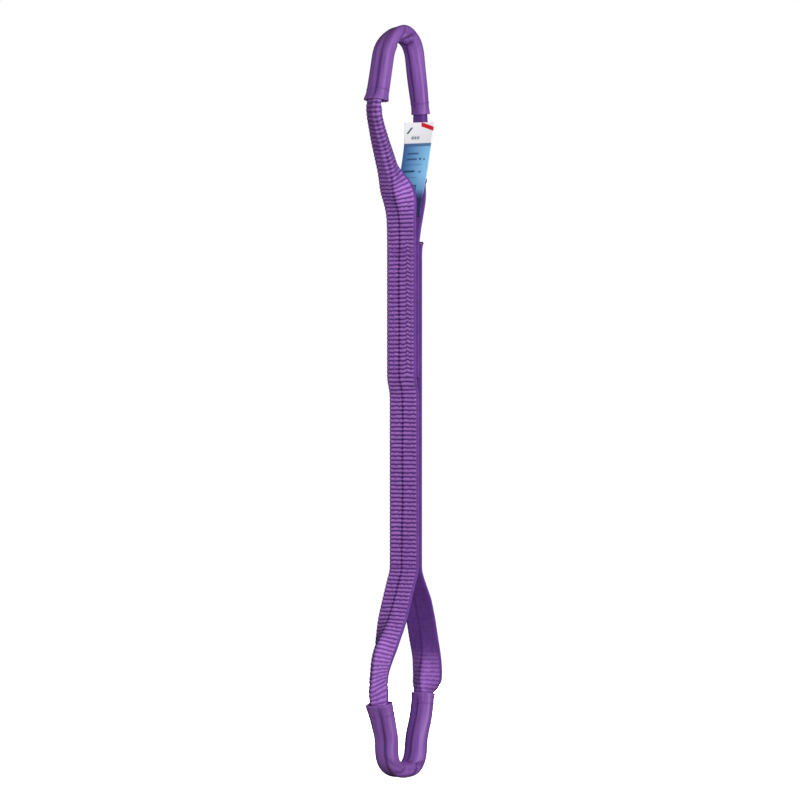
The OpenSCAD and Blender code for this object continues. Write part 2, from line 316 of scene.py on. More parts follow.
def web_strip(name, first, last, tongue=(0, 0)):
    """The web between two rows as a closed strip. A tongue is a thinner end, so many rows long,
    that goes into the next stretch where the two only meet at a flex point."""
    rows = np.arange(first - tongue[0], last + tongue[1] + 1)
    rows = rows[rows < len(along)]
    # the row on an apex has the fold of the side that is being made
    shape = rows + (rows == row_of["apex_top"]) * (first == row_of["apex_top"])
    shape = shape + (rows == row_of["apex_low"]) * (first == row_of["apex_low"])
    thin = np.where((rows < first) | (rows > last), TONGUE_SHARE, 1.0)[:, None]
    count = len(ACROSS)
    bend = np.radians(fold[shape])[:, None]
    crest = np.clip(np.abs(fold[shape]) / 60, 0, 1)[:, None]    # the fold runs off the middle
    ramp = np.clip((ACROSS[None] - crest) / FOLD_HALF, -1, 1)
    theta = bend * ramp
    dv = ACROSS[1] - ACROSS[0]
    mid = 0.5 * (theta[:, 1:] + theta[:, :-1])
    zero = np.zeros((len(rows), 1))
    y = np.concatenate([zero, np.cumsum(np.cos(mid) * dv, 1)], 1)
    n = np.concatenate([zero, np.cumsum(-np.sin(mid) * dv, 1)], 1)
    y = (y - y.mean(1, keepdims=True)) * squeeze[rows][:, None]
    n = (n - n.mean(1, keepdims=True)) * squeeze[rows][:, None]
    swing = np.radians(turn[shape])[:, None]
    cos_t, sin_t = np.cos(swing), np.sin(swing)

    def turned(a, b):
        return a * cos_t - b * sin_t, a * sin_t + b * cos_t

    y, n = turned(y, n)
    my, mn = turned(np.sin(theta), np.cos(theta))
    dy, dn = turned(np.cos(theta), -np.sin(theta))
    core = CORE * thin * (1 - 0.35 * np.clip((np.abs(ACROSS) - 13.5) / 1.5, 0, 1) ** 2)[None]
    pieces, normals, where = [], [], []

    def band(cols, a, b, ribbed):
        """Points at columns cols, pushed out along a*normal + b*direction."""
        oy, on = my[:, cols] * a + dy[:, cols] * b, mn[:, cols] * a + dn[:, cols] * b
        pieces.append((y[:, cols] + oy * core[:, cols], n[:, cols] + on * core[:, cols]))
        normals.append((oy, on))
        where.append((np.broadcast_to(ACROSS[cols][None], oy.shape),
                      np.broadcast_to(ribbed, oy.shape) * (thin > 0.8)))

    every = np.arange(count)
    # the ribs fade out at the -Y selvage and thin a little at the other one
    selvage = np.clip((ACROSS + 14.2) / 0.8, 0.12, 1) * np.clip((14.9 - ACROSS) / 0.5, 0.75, 1)
    # painted shade: where the web is folded hard its ribs are flatter and its face is coloured
    # darker
    folded_flat_and_shaded = 1 - 0.28 * np.abs(fold[shape])[:, None] / 90     # duller where it is folded hard
    band(every, 1, 0, selvage[None] * folded_flat_and_shaded)
    for angle in np.radians([45, 90, 135]):
        band(np.array([count - 1]), math.cos(angle), math.sin(angle), 0.75 if angle < 2 else 0.3)
    band(every[::-1], -1, 0, (inner_ribs[rows][:, None] * selvage[::-1][None]))
    for angle in np.radians([135, 90, 45]):
        band(np.array([0]), math.cos(angle), -math.sin(angle), 0.1)
    py, pn = (np.concatenate([p[i] for p in pieces], 1) for i in (0, 1))
    oy, on = (np.concatenate([p[i] for p in normals], 1) for i in (0, 1))
    across, ribbed = (np.concatenate([p[i] for p in where], 1) for i in (0, 1))
    ox, oz = out_x[rows][:, None], out_z[rows][:, None]
    verts = np.stack([line_x[rows][:, None] + pn * ox, py,
                      line_z[rows][:, None] + pn * oz], 2)
    outward = np.stack([on * ox, oy, on * oz], 2)
    ring = py.shape[1]
    s = np.broadcast_to((rows * ROW)[:, None], py.shape)
    # down the lap a stitch row pulls the ribs into chevrons
    lap_share = np.clip((s - row_of["lap_top"] * ROW) / 6, 0, 1) * np.clip(
        (row_of["lap_low"] * ROW - s) / 6, 0, 1)
    # where the lower left leg is folded its front half lags, and its ribs run aslant
    s = s - 0.42 * across * np.exp(-((s - row_of["knee_low_left"] * ROW) / 13) ** 2)
    s = s + lap_share * 0.95 * np.exp(-((across + 7) / 1.7) ** 2)
    stripe_at = 1.55 + 0.45 * np.sin(s / 37.0) + 0.25 * np.sin(s / 11.3 + 1)
    stripe = np.exp(-((across - stripe_at) / 1.05) ** 2)
    index = np.arange(len(rows) * ring).reshape(len(rows), ring)
    quads = tube_faces(index).tolist()
    caps = []
    for end, flip in ((index[0], False), (index[-1], True)):
        top, low = end[:count], end[count + 3:2 * count + 3][::-1]
        made = [[top[i], low[i], low[i + 1], top[i + 1]] for i in range(count - 1)]
        e, g = end[count:count + 3], end[2 * count + 3:]
        made += [[top[-1], low[-1], e[2], e[0]], [e[0], e[2], e[1]],
                 [low[0], top[0], g[2], g[0]], [g[0], g[2], g[1]]]
        caps += [[int(i) for i in (f[::-1] if flip else f)] for f in made]
    thing = mesh_object(name, verts.reshape(-1, 3), quads + caps,
                        {"along": s.ravel(), "across": across.ravel(),
                         "stripe": stripe.ravel(), "ribbed": ribbed.ravel(),
                         "outward": outward.reshape(-1, 3)})
    edges = np.zeros(len(thing.data.edges) * 2, int)
    thing.data.edges.foreach_get("vertices", edges)
    edges = edges.reshape(-1, 2)
    on_end = ((edges < ring).all(1)) | ((edges >= index[-1][0]).all(1))
    thing.data.attributes.new("sharp_edge", "BOOLEAN", "EDGE").data.foreach_set("value", on_end)
    return thing


def new_tree(name, inputs, result):
    """A geometry tree with inputs given by name and kind, one geometry result, and its sockets."""
    tree = bpy.data.node_groups.new(name, "GeometryNodeTree")
    for label, kind in inputs.items():
        tree.interface.new_socket(label, in_out="INPUT", socket_type="NodeSocket" + kind)
    tree.interface.new_socket(result, in_out="OUTPUT", socket_type="NodeSocketGeometry")
    return tree, add(tree, "NodeGroupInput").outputs


def end_tree(tree, geometry, material):
    """Makes the geometry's instances real, gives it the material and sends it out."""
    real = add(tree, "GeometryNodeRealizeInstances", {"Geometry": geometry}).outputs[0]
    dressed = add(tree, "GeometryNodeSetMaterial", {"Geometry": real, "Material": material})
    add(tree, "NodeGroupOutput", {0: dressed.outputs[0]})


def read(tree, name, kind="FLOAT"):
    """A named attribute, in a geometry tree."""
    return add(tree, "GeometryNodeInputNamedAttribute", {"Name": name}, data_type=kind).outputs[0]


def maths(tree, operation, *values):
    """The result of one operation on numbers or sockets."""
    return add(tree, "ShaderNodeMath", dict(enumerate(values)), operation=operation).outputs[0]


def count_cells(tree, along_mm, across_mm, spacing, bundle):
    """Number of the nearest gap, number of the warp bundle and noise for the pair."""
    gap_number = maths(tree, "ROUND", maths(tree, "DIVIDE", along_mm, spacing))
    bundle_number = maths(tree, "FLOOR", maths(tree, "DIVIDE", across_mm, bundle))
    cell = add(tree, "ShaderNodeCombineXYZ", {0: gap_number, 1: bundle_number}).outputs[0]
    noise = add(tree, "ShaderNodeTexWhiteNoise", {"Vector": cell}, noise_dimensions="3D")
    return gap_number, noise.outputs["Value"]


# Ribs by geometry nodes: each rib is a row of weft floats, and the warp ends step in and out of
# the gap between two ribs, which gives it a ragged edge.
weave, asked = new_tree("webbing ribs", {
    "Web": "Geometry", "Rib spacing mm": "Float", "Rib height m": "Float",
    "Warp bundle mm": "Float", "Raggedness": "Float", "Cloth": "Material"}, "Web")
here, side = read(weave, "along"), read(weave, "across")
stripe, ribbed = read(weave, "stripe"), read(weave, "ribbed")
gap_number, noise = count_cells(weave, here, side, asked["Rib spacing mm"],
                                asked["Warp bundle mm"])
away = maths(weave, "SUBTRACT", maths(weave, "DIVIDE", here, asked["Rib spacing mm"]), gap_number)
shifted = maths(weave, "MULTIPLY_ADD", maths(weave, "SUBTRACT", noise, 0.5),
                asked["Raggedness"], away)
distance = maths(weave, "ABSOLUTE", shifted)        # 0 in the gap, 0.5 on the rib's crown
inner = maths(weave, "MULTIPLY_ADD", stripe, 0.09, 0.04)
outer = maths(weave, "MULTIPLY_ADD", stripe, 0.10, 0.38)
solid = add(weave, "ShaderNodeMapRange", {"Value": distance, 1: inner, 2: outer, 3: 0.0, 4: 1.0},
            interpolation_type="SMOOTHSTEP").outputs[0]
gap = maths(weave, "MULTIPLY", maths(weave, "SUBTRACT", 1.0, solid), ribbed)
crown = maths(weave, "SUBTRACT", 1.0, maths(weave, "MULTIPLY", 0.55, maths(
    weave, "POWER", maths(weave, "SUBTRACT", 1.0, maths(weave, "MULTIPLY", 2.0, distance)), 2.0)))
height = maths(weave, "MULTIPLY", maths(weave, "MULTIPLY", solid, crown), ribbed)
height = maths(weave, "MULTIPLY", height, maths(weave, "MULTIPLY_ADD", stripe, -0.35, 1.0))
offset = add(weave, "ShaderNodeVectorMath",
             {0: read(weave, "outward", "FLOAT_VECTOR"),
              "Scale": maths(weave, "MULTIPLY", height, asked["Rib height m"])},
             operation="SCALE").outputs[0]
marked = add(weave, "GeometryNodeStoreNamedAttribute",
             {"Geometry": asked["Web"], "Name": "gap", "Value": gap},
             data_type="FLOAT", domain="POINT").outputs[0]
raised = add(weave, "GeometryNodeSetPosition", {"Geometry": marked, "Offset": offset}).outputs[0]
end_tree(weave, raised, asked["Cloth"])


def through_nodes(thing, tree, **sizes):
    """Runs the tree on the object, keeps the result as its plain mesh and drops the modifier."""
    run = thing.modifiers.new("nodes", "NODES")
    run.node_group = tree
    for item in tree.interface.items_tree:
        key = item.name.replace(" ", "_")
        if item.in_out == "INPUT" and key in sizes:
            run[item.identifier] = sizes[key]
    bpy.context.view_layer.update()
    done = thing.evaluated_get(bpy.context.evaluated_depsgraph_get())
    plain = bpy.data.meshes.new_from_object(done)
    thing.modifiers.remove(run)
    thing.data = plain
    plain.name = thing.name
    return thing


def new_material(name):
    """A material with an empty shader tree and its Principled shader."""
    look = bpy.data.materials.new(name)
    look.use_nodes = True
    return look, look.node_tree, look.node_tree.nodes["Principled BSDF"]


def mix(tree, share, low, high, blend="MIX"):
    """Colour low with the share of colour high mixed in."""
    return add(tree, "ShaderNodeMix", {0: share, 6: low, 7: high},
               data_type="RGBA", blend_type=blend).outputs[2]


def attribute(tree, name):
    """A named attribute, in a material."""
    return add(tree, "ShaderNodeAttribute", attribute_name=name).outputs["Fac"]


def noise_in(tree, scale, detail):
    """Noise that is fixed to the object, with about so many cells in a metre."""
    place = add(tree, "ShaderNodeTexCoord").outputs["Object"]
    return add(tree, "ShaderNodeTexNoise", {"Vector": place, "Scale": scale, "Detail": detail}
               ).outputs["Fac"]


def bump(tree, shader, height, strength, distance):
    raised = add(tree, "ShaderNodeBump", {"Height": height, "Strength": strength,
                                          "Distance": distance}).outputs[0]
    tree.links.new(raised, shader.inputs["Normal"])


# Woven polyester webbing: dull filament yarn, bright on the rib floats, with painted shade in the
# gaps between the ribs and a near-black marker yarn down the middle. Yarn spacing is really
# 0.5 mm; it is drawn at 1 mm so that it shows.
webbing, cloth, shader = new_material("woven polyester webbing, violet")
along_a, across_a, stripe_a, ribbed_a, gap_a = (
    attribute(cloth, name) for name in ("along", "across", "stripe", "ribbed", "gap"))
tint = mix(cloth, ribbed_a, linear("482072"), linear("B07AD0"))
_, cell_noise = count_cells(cloth, along_a, across_a, RIB, WARP_BUNDLE)
spot = maths(cloth, "MULTIPLY_ADD", cell_noise, 0.30, 0.85)
tint = mix(cloth, 1.0, tint, add(cloth, "ShaderNodeCombineXYZ", {0: spot, 1: spot, 2: spot}
                                 ).outputs[0], "MULTIPLY")
tint = mix(cloth, maths(cloth, "MULTIPLY", noise_in(cloth, 45.0, 3.0), 0.35), tint,
           linear("7A449C"))
# painted shade: the gaps between the ribs are coloured dark violet for the shade that falls in
# them
tint = mix(cloth, gap_a, tint, linear("4A1870"))
marker = maths(cloth, "MULTIPLY", stripe_a, maths(cloth, "MULTIPLY_ADD", gap_a, 0.55, 0.40))
tint = mix(cloth, marker, tint, linear("28063E"))
cloth.links.new(tint, shader.inputs["Base Color"])
shader.inputs["Roughness"].default_value = 0.72
shader.inputs["IOR"].default_value = 1.5
shader.inputs["Specular IOR Level"].default_value = 0.3
yarn_way = add(cloth, "ShaderNodeCombineXYZ", {
    0: across_a, 1: maths(cloth, "MULTIPLY", along_a, 0.35)}).outputs[0]
yarn = add(cloth, "ShaderNodeTexWave", {"Vector": yarn_way, "Scale": 0.32, "Distortion": 1.2,
                                        "Detail": 1.0}, bands_direction="X").outputs["Fac"]
bump(cloth, shader, yarn, 0.45, 0.0003)


def web_piece(name, first, last, bodies, nodes=(),
              tongue=(0, 0)):
    """A finished stretch of web that rides one body, or spans two and is attached to neither."""
    first, last = (row_of.get(row, row) for row in (first, last))
    thing = web_strip(name, first, last, tongue)
    through_nodes(thing, weave, Rib_spacing_mm=RIB, Rib_height_m=RIB_HEIGHT * MM,
                  Warp_bundle_mm=WARP_BUNDLE, Raggedness=0.16, Cloth=webbing)
    if len(bodies) == 1:
        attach(thing, bodies[0])
    else:
        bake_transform(thing)
    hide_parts(*nodes)
    return thing


web_piece("web_middle_ply", "hidden_end", "throat_top_right", ["lap"],
          nodes=["ply_middle_lap"])
cut = row_of["shoulder_top_right"] - 3 * RIB_ROWS
web_piece("web_top_right_leg", "throat_top_right", cut, ["leg_top_right", "bight_top_right"],
          ["web_leg_top_right", "web_bight_top_right"],
          tongue=(6, 0))
web_piece("web_crown_top_right", cut, "apex_top", ["bight_top_right", "crown_top"],
          ["web_crown_top"])
cut = row_of["shoulder_top_left"] + 5 * RIB_ROWS
web_piece("web_crown_top_left", "apex_top", cut, ["crown_top", "bight_top_left"])
mid = int(np.argmin(np.hypot(line_x + 14.0, line_z + 84))) // RIB_ROWS * RIB_ROWS
web_piece("web_top_left_leg", cut, mid, ["bight_top_left", "leg_top_left"],
          ["web_bight_top_left", "web_leg_top_left"])
web_piece("web_throat_top", mid, "lap_top", ["leg_top_left", "lap"])
web_piece("web_front_lap", "lap_top", "lap_low", ["lap"], nodes=["ply_front_lap"])

web_piece("web_front_upper", "lap_low", "cut_a", ["lap", "body_a"],
          ["ply_front_a"])
web_piece("web_front_twist", "cut_a", "cut_b", ["body_a", "body_b"])
web_piece("web_front_middle", "cut_b", "cut_c", ["body_b", "body_c"],
          ["ply_front_b"])
web_piece("web_front_lower", "cut_c", "cut_throat_left", ["body_c", "throat_low"],
          ["ply_front_c"])
web_piece("web_throat_low_left", "cut_throat_left", "cut_leg_left",
          ["throat_low", "leg_low_left"], ["ply_front_throat"])
web_piece("web_low_left_leg", "cut_leg_left", "cut_bight_left",
          ["leg_low_left", "bight_low_left"],
          ["web_leg_low_left", "web_bight_low_left"])
web_piece("web_crown_low_left", "cut_bight_left", "apex_low", ["bight_low_left", "crown_low"],
          ["web_crown_low"])
web_piece("web_crown_low_right", "apex_low", "cut_bight_right",
          ["crown_low", "bight_low_right"])
web_piece("web_low_right_leg", "cut_bight_right", "throat_low_right",
          ["bight_low_right", "leg_low_right"],
          ["web_bight_low_right", "web_leg_low_right"], tongue=(0, 6))
web_piece("web_throat_low_right", "throat_low_right", "cut_throat_right", ["throat_low"],
          nodes=["ply_back_throat"])
web_piece("web_back_lower", "cut_throat_right", "back_cut_c", ["throat_low", "body_c"],
          ["ply_back_c"])
web_piece("web_back_middle", "back_cut_c", "back_cut_b", ["body_c", "body_b"],
          ["ply_back_b"])
web_piece("web_back_twist", "back_cut_b", "back_cut_a", ["body_b", "body_a"])
web_piece("web_back_upper", "back_cut_a", "back_lap_low", ["body_a", "lap"],
          ["ply_back_a"])
web_piece("web_back_lap", "back_lap_low", "seared_end", ["lap"], nodes=["ply_back_lap"])

# ----------------------------------------
# Eye sleeves. A tube of closer-woven polyester is slid over each folded eye before the lap is
# sewn. It is flattened round the web, creased along its front and crumpled on the inside of the
# bend, and each mouth is turned in and hemmed.
# ----------------------------------------
AROUND = 96                 # mesh points round a sleeve
SQUARENESS = 2.7            # 2 is an oval section, more is boxier
GROOVE_Y, GROOVE_DEPTH = -1.8, 1.25         # lengthwise crease on the face inside the eye
VALLEY_Y = 3.6              # lengthwise crease on the outer face
APEX_HALF_W, APEX_HALF_T = 10.2, 5.7        # half sizes of the section at the apex
WALL, HEM_FOLD = 1.0, 1.4   # thickness of the cloth, and how much more it has at the mouth
HEM_AT = 9                  # from the mouth to the row of hem stitches
hem_lines = {}              # points and outward directions where each hem is sewn


def sleeve_piece(name, mouth, apex, half_w, half_t, creases, nodes,
                 flare, tilt=0.0, mouth_tilt=0.0, valley=0.0, painted_shade_band=(0.0, 1.0, 0.0)):
    """Half a sleeve, between its mouth row and its apex row, as a hollow tube. Flare opens the
    mouth, tilt and mouth_tilt turn the section in degrees, valley is how deep the outer face is
    creased, and the last argument is the Y, width and strength of a band of painted shade."""
    rows = np.arange(min(mouth, apex), max(mouth, apex) + 1, 2)
    s = rows * ROW
    inside = np.abs(s - mouth * ROW)                 # distance from the mouth
    to_apex = np.abs(s - apex * ROW)
    angle = np.linspace(0, 2 * math.pi, AROUND, endpoint=False)[None]
    hem = np.exp(-(inside / 4.0) ** 2)[:, None]
    bulge = 1 + 0.02 * np.sin(s / 9.0)[:, None]
    near_apex = np.exp(-(to_apex / 20) ** 2)[:, None]
    half_w = half_w + (APEX_HALF_W - half_w) * near_apex
    half_t = half_t + (APEX_HALF_T - half_t) * near_apex
    a = half_w * bulge + flare[0] * hem
    b = half_t / bulge + flare[1] * hem
    power = 2 / SQUARENESS
    y = -a * np.sign(np.sin(angle)) * np.abs(np.sin(angle)) ** power
    n = b * np.sign(np.cos(angle)) * np.abs(np.cos(angle)) ** power
    radius = np.hypot(y, n)
    soft = 0.30 * np.cos(3 * angle + s[:, None] / 31) + 0.16 * np.cos(7 * angle - s[:, None] / 17)
    soft = soft * (1 - 0.6 * hem)
    groove = (n > 0) * np.exp(-((y - GROOVE_Y - 0.8 * np.sin(s / 21)[:, None]) / 2.3) ** 2)
    dent = -GROOVE_DEPTH * groove * np.clip(inside / 8, 0.15, 1)[:, None] * np.clip(
        (to_apex - 8) / 22, 0, 1)[:, None]
    dent = dent - valley * (n < 0) * np.exp(-((y - VALLEY_Y) / 2.6) ** 2) * np.clip(
        inside / 10, 0.1, 1)[:, None] * np.clip((to_apex - 2) / 16, 0, 1)[:, None]
    for place, at, lean, width, depth, reach in creases:
        off = (to_apex[:, None] - place) + lean * (angle - at)
        dent = dent - depth * np.exp(-(off / width) ** 2) * np.exp(-((angle - at) / reach) ** 2)
    grow = (radius + soft + dent) / radius
    y, n = y * grow, n * grow
    lean_by = (np.radians(tilt) * np.exp(-(to_apex / 16.0) ** 2)
               + np.radians(mouth_tilt) * np.exp(-(inside / 16.0) ** 2))[:, None]
    y, n = y * np.cos(lean_by) - n * np.sin(lean_by), y * np.sin(lean_by) + n * np.cos(lean_by)
    wall = WALL + HEM_FOLD * np.exp(-(inside / 1.0) ** 2)[:, None]
    shrink = 1 - wall / np.hypot(y, n)
    rings = []
    for scale in (1.0, shrink):
        yy, nn = y * scale, n * scale
        rings.append(np.stack([line_x[rows][:, None] + nn * out_x[rows][:, None], yy,
                               line_z[rows][:, None] + nn * out_z[rows][:, None]], 2))
    verts = np.concatenate([rings[0].reshape(-1, 3), rings[1].reshape(-1, 3)])
    index = np.arange(len(rows) * AROUND).reshape(len(rows), AROUND)
    outer = tube_faces(index)
    inner = outer[:, ::-1] + index.size
    ends = []
    for end_ring, flip in ((index[0], False), (index[-1], True)):
        after = np.roll(end_ring, -1)
        lip = np.stack([end_ring, end_ring + index.size, after + index.size, after], 1)
        ends.append(lip[:, ::-1] if flip else lip)
    faces = np.concatenate([outer, inner, *ends]).tolist()
    arc = np.broadcast_to(angle * 10.0, y.shape)
    at_hem = int(np.argmin(np.abs(inside - HEM_AT)))
    ring_points = rings[0][at_hem]
    centre = ring_points.mean(0)
    hem_lines[name] = (ring_points, (ring_points - centre) / np.linalg.norm(
        ring_points - centre, axis=1)[:, None])
    # painted shade: the cloth is coloured darker in its dents and creases and along the band,
    # standing in for the shade there
    crease = np.clip(-dent, 0, 1.5) + painted_shade_band[2] * np.exp(-((y - painted_shade_band[0]) / painted_shade_band[1]) ** 2)
    thing = mesh_object(name, verts, faces, {
        "along": np.tile(np.broadcast_to(s[:, None], y.shape).ravel(), 2),
        "around": np.tile(arc.ravel(), 2), "crease": np.tile(crease.ravel(), 2),
        "hem": np.tile(np.broadcast_to(np.exp(-((inside - HEM_AT) / 0.9) ** 2)[:, None],
                                       y.shape).ravel(), 2)})
    thing.data.materials.append(sleeving)
    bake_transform(thing)
    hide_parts(*nodes)
    return thing


# Tubular polyester sleeving: plain weave of fine filament yarn, smoother and glossier than the
# webbing, with faint lengthwise streaks. Its yarns are really 0.4 mm apart, drawn at 0.9 mm.
sleeving, cloth, shader = new_material("tubular polyester sleeving, violet")
along_a, around_a, hem_a, painted_crease_shade_a = (
    attribute(cloth, name) for name in ("along", "around", "hem", "crease"))
streak_way = add(cloth, "ShaderNodeCombineXYZ", {0: maths(cloth, "MULTIPLY", around_a, 0.9),
                                                 1: maths(cloth, "MULTIPLY", along_a, 0.05)}
                 ).outputs[0]
streak = add(cloth, "ShaderNodeTexNoise", {"Vector": streak_way, "Scale": 1.0, "Detail": 3.0}
             ).outputs["Fac"]
tint = mix(cloth, maths(cloth, "MULTIPLY_ADD", streak, 1.6, -0.4), linear("744196"),
           linear("8F68AE"))
tint = mix(cloth, maths(cloth, "MULTIPLY", hem_a, 0.25), tint, linear("4A2068"))
# painted shade: mixed towards dark violet in the creases and along the band of shade
tint = mix(cloth, maths(cloth, "MULTIPLY", painted_crease_shade_a, 0.46), tint, linear("431B66"))
cloth.links.new(tint, shader.inputs["Base Color"])
shader.inputs["Roughness"].default_value = 0.5
shader.inputs["IOR"].default_value = 1.5
shader.inputs["Specular IOR Level"].default_value = 0.35
yarn_way = add(cloth, "ShaderNodeCombineXYZ", {0: around_a, 1: along_a}).outputs[0]
warp = add(cloth, "ShaderNodeTexWave", {"Vector": yarn_way, "Scale": 0.35, "Distortion": 0.6},
           bands_direction="X").outputs["Fac"]
weft = add(cloth, "ShaderNodeTexWave", {"Vector": yarn_way, "Scale": 0.35, "Distortion": 0.6},
           bands_direction="Y").outputs["Fac"]
bump(cloth, shader, maths(cloth, "MAXIMUM", warp, weft), 0.25, 0.0003)


def row_at(z, low, high):
    """The row of the route nearest to height z, between two named rows."""
    low, high = row_of[low], row_of[high]
    return low + int(np.argmin(np.abs(line_z[low:high] - z)))


mouth_tr = row_at(-47.5, "throat_top_right", "shoulder_top_right")
mouth_tl = row_at(-39.0, "shoulder_top_left", "throat_top_left")
mouth_ll = row_at(-519.0, "knee_low_left", "apex_low")
mouth_lr = row_at(-512.0, "apex_low", "cut_leg_right")
# crease: distance from the apex, angle round the tube, lean, width, depth, reach
sleeve_piece("sleeve_half_top_right", mouth_tr, row_of["apex_top"], 8.7, 4.9,
             [(6, 2.4, 4, 2.5, 1.7, 0.9), (15, 2.9, -3, 2.2, 1.4, 0.7),
              (0, 3.14, 0, 6, -1.2, 0.9)],
             ["sleeve_top_right", "sleeve_top_crown"], flare=(0.2, 0.5), tilt=-12, mouth_tilt=10,
             valley=1.3, painted_shade_band=(8.5, 3.5, 1.2))
sleeve_piece("sleeve_half_top_left", mouth_tl, row_of["apex_top"], 10.2, 5.7,
             [(5, 2.2, -5, 1.6, 1.5, 0.8), (13, 2.6, 4, 1.8, 1.0, 0.7),
              (0, 3.14, 0, 6, -1.2, 0.9)],
             ["sleeve_top_left"], flare=(0.3, 1.8), tilt=-12)
sleeve_piece("sleeve_half_low_left", mouth_ll, row_of["apex_low"], 10.8, 6.0,
             [(8, 1.4, 5, 2.0, 1.0, 0.8), (18, 0.9, 6, 2.4, 0.7, 0.7),
              (0, 3.14, 0, 7, -1.6, 0.9)],
             ["sleeve_low_left", "sleeve_low_crown"], flare=(0.6, 0.9), mouth_tilt=14)
sleeve_piece("sleeve_half_low_right", mouth_lr, row_of["apex_low"], 10.3, 5.6,
             [(7, 1.3, -6, 2.4, 1.6, 0.8), (14, 1.8, 5, 2.2, 1.4, 0.6),
              (0, 3.14, 0, 7, -1.6, 0.9), (9, 3.6, 4, 2.6, 1.4, 0.7)],
             ["sleeve_low_right"], flare=(0.35, 0.8), valley=1.6, painted_shade_band=(9.5, 4.5, 1.7))

# ----------------------------------------
# Sewing. Violet polyester thread: a ring of stitches closes each hem, four long rows on each face
# hold the three plies of the lap, and short rows cross the throats where the plies part.
# ----------------------------------------
THREAD = 0.95               # thickness of the thread
sewing, asked = new_tree("row of stitches", {
    "Guide": "Geometry", "Pitch m": "Float", "Stitch m": "Float", "Thread m": "Float",
    "Thread": "Material"}, "Stitches")
seam = add(sewing, "GeometryNodeMeshToCurve", {0: asked["Guide"]}).outputs[0]
spots = add(sewing, "GeometryNodeResampleCurve", {"Curve": seam, "Length": asked["Pitch m"]},
            mode="LENGTH").outputs[0]
lie = add(sewing, "FunctionNodeAlignRotationToVector",
          {"Vector": add(sewing, "GeometryNodeInputTangent").outputs[0]}, axis="X").outputs[0]
lie = add(sewing, "FunctionNodeAlignRotationToVector",
          {"Rotation": lie, "Vector": read(sewing, "outward", "FLOAT_VECTOR")},
          axis="Z", pivot_axis="X").outputs[0]
grain = add(sewing, "GeometryNodeMeshUVSphere", {"Segments": 8, "Rings": 6, "Radius": 1.0}
            ).outputs[0]
grain = add(sewing, "GeometryNodeSetShadeSmooth", {"Geometry": grain}).outputs[0]
size = add(sewing, "ShaderNodeCombineXYZ", {
    0: maths(sewing, "MULTIPLY", asked["Stitch m"], 0.5),
    1: maths(sewing, "MULTIPLY", asked["Thread m"], 0.5),
    2: maths(sewing, "MULTIPLY", asked["Thread m"], 0.4)}).outputs[0]
laid = add(sewing, "GeometryNodeInstanceOnPoints",
           {"Points": spots, "Instance": grain, "Rotation": lie, "Scale": size}).outputs[0]
end_tree(sewing, laid, asked["Thread"])

# Bonded polyester sewing thread: three twisted plies with a waxy shine.
thread, fibre, shader = new_material("bonded polyester thread, violet")
twist = noise_in(fibre, 900.0, 1.0)
fibre.links.new(mix(fibre, twist, linear("5A2C7C"), linear("8A5AAC")),
                shader.inputs["Base Color"])
shader.inputs["Roughness"].default_value = 0.45
shader.inputs["Specular IOR Level"].default_value = 0.4
bump(fibre, shader, twist, 0.4, 0.0002)


def stitches(name, guides, body, nodes=(), pitch=3.0, stitch=2.5, closed=False):
    """Rows of stitches along guides, each a pair of point and outward lists, on one body."""
    mesh = bpy.data.meshes.new(name)
    points, edges, away = [], [], []
    for line, normals in guides:
        first = len(points)
        points += [tuple(c * MM for c in q) for q in line]
        away += [tuple(q) for q in normals]
        edges += [(first + i, first + i + 1) for i in range(len(line) - 1)]
        edges += [(first + len(line) - 1, first)] * closed
    mesh.from_pydata(points, edges, [])
    mesh.attributes.new("outward", "FLOAT_VECTOR", "POINT").data.foreach_set(
        "vector", np.array(away, np.float32).ravel())
    thing = bpy.data.objects.new(name, mesh)
    scene.collection.objects.link(thing)
    through_nodes(thing, sewing, Pitch_m=pitch * MM, Stitch_m=stitch * MM, Thread_m=THREAD * MM,
                  Thread=thread)
    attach(thing, body)
    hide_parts(*nodes)
    return thing


for place in ("top_left", "top_right", "low_left", "low_right"):
    stitches("stitches_" + place, [hem_lines["sleeve_half_" + place]], "bight_" + place,
             ["hem_stitch_" + place], 2.6, 2.1, closed=True)

front_x, back_x = FRONT_X - PLY_FACE, BACK_X + PLY_FACE
front, back = (-1, 0, 0), (1, 0, 0)


def upright(x, y, z0, z1, normal):
    """A row of stitches down the web."""
    line = [(x, y, z) for z in np.arange(z0, z1, -1.5)]
    return line, [normal] * len(line)


def level(x, z, half, normal):
    """A row of stitches across the web."""
    line = [(x, y, z) for y in np.arange(-half, half + 0.1, 1.5)]
    return line, [normal] * len(line)


lap_rows = [upright(x, y, -156, -254, n) for x, n in ((front_x, front), (back_x, back))
            for y in (-12, -7, 7, 12)]
stitches("stitches_lap", lap_rows, "lap", ["stitch_lap"], RIB, 2.4)
stitches("stitches_throat_top", [level(front_x, z, 13, front) for z in (-157, -161)],
         "lap", ["stitch_throat_top"])
stitches("stitches_throat_low",
         [level(x, z, 13, n) for x, n in ((MIDDLE_X - PLY_FACE, front), (back_x, back))
          for z in (-410.4, -412.8)], "throat_low", ["stitch_throat_low"])

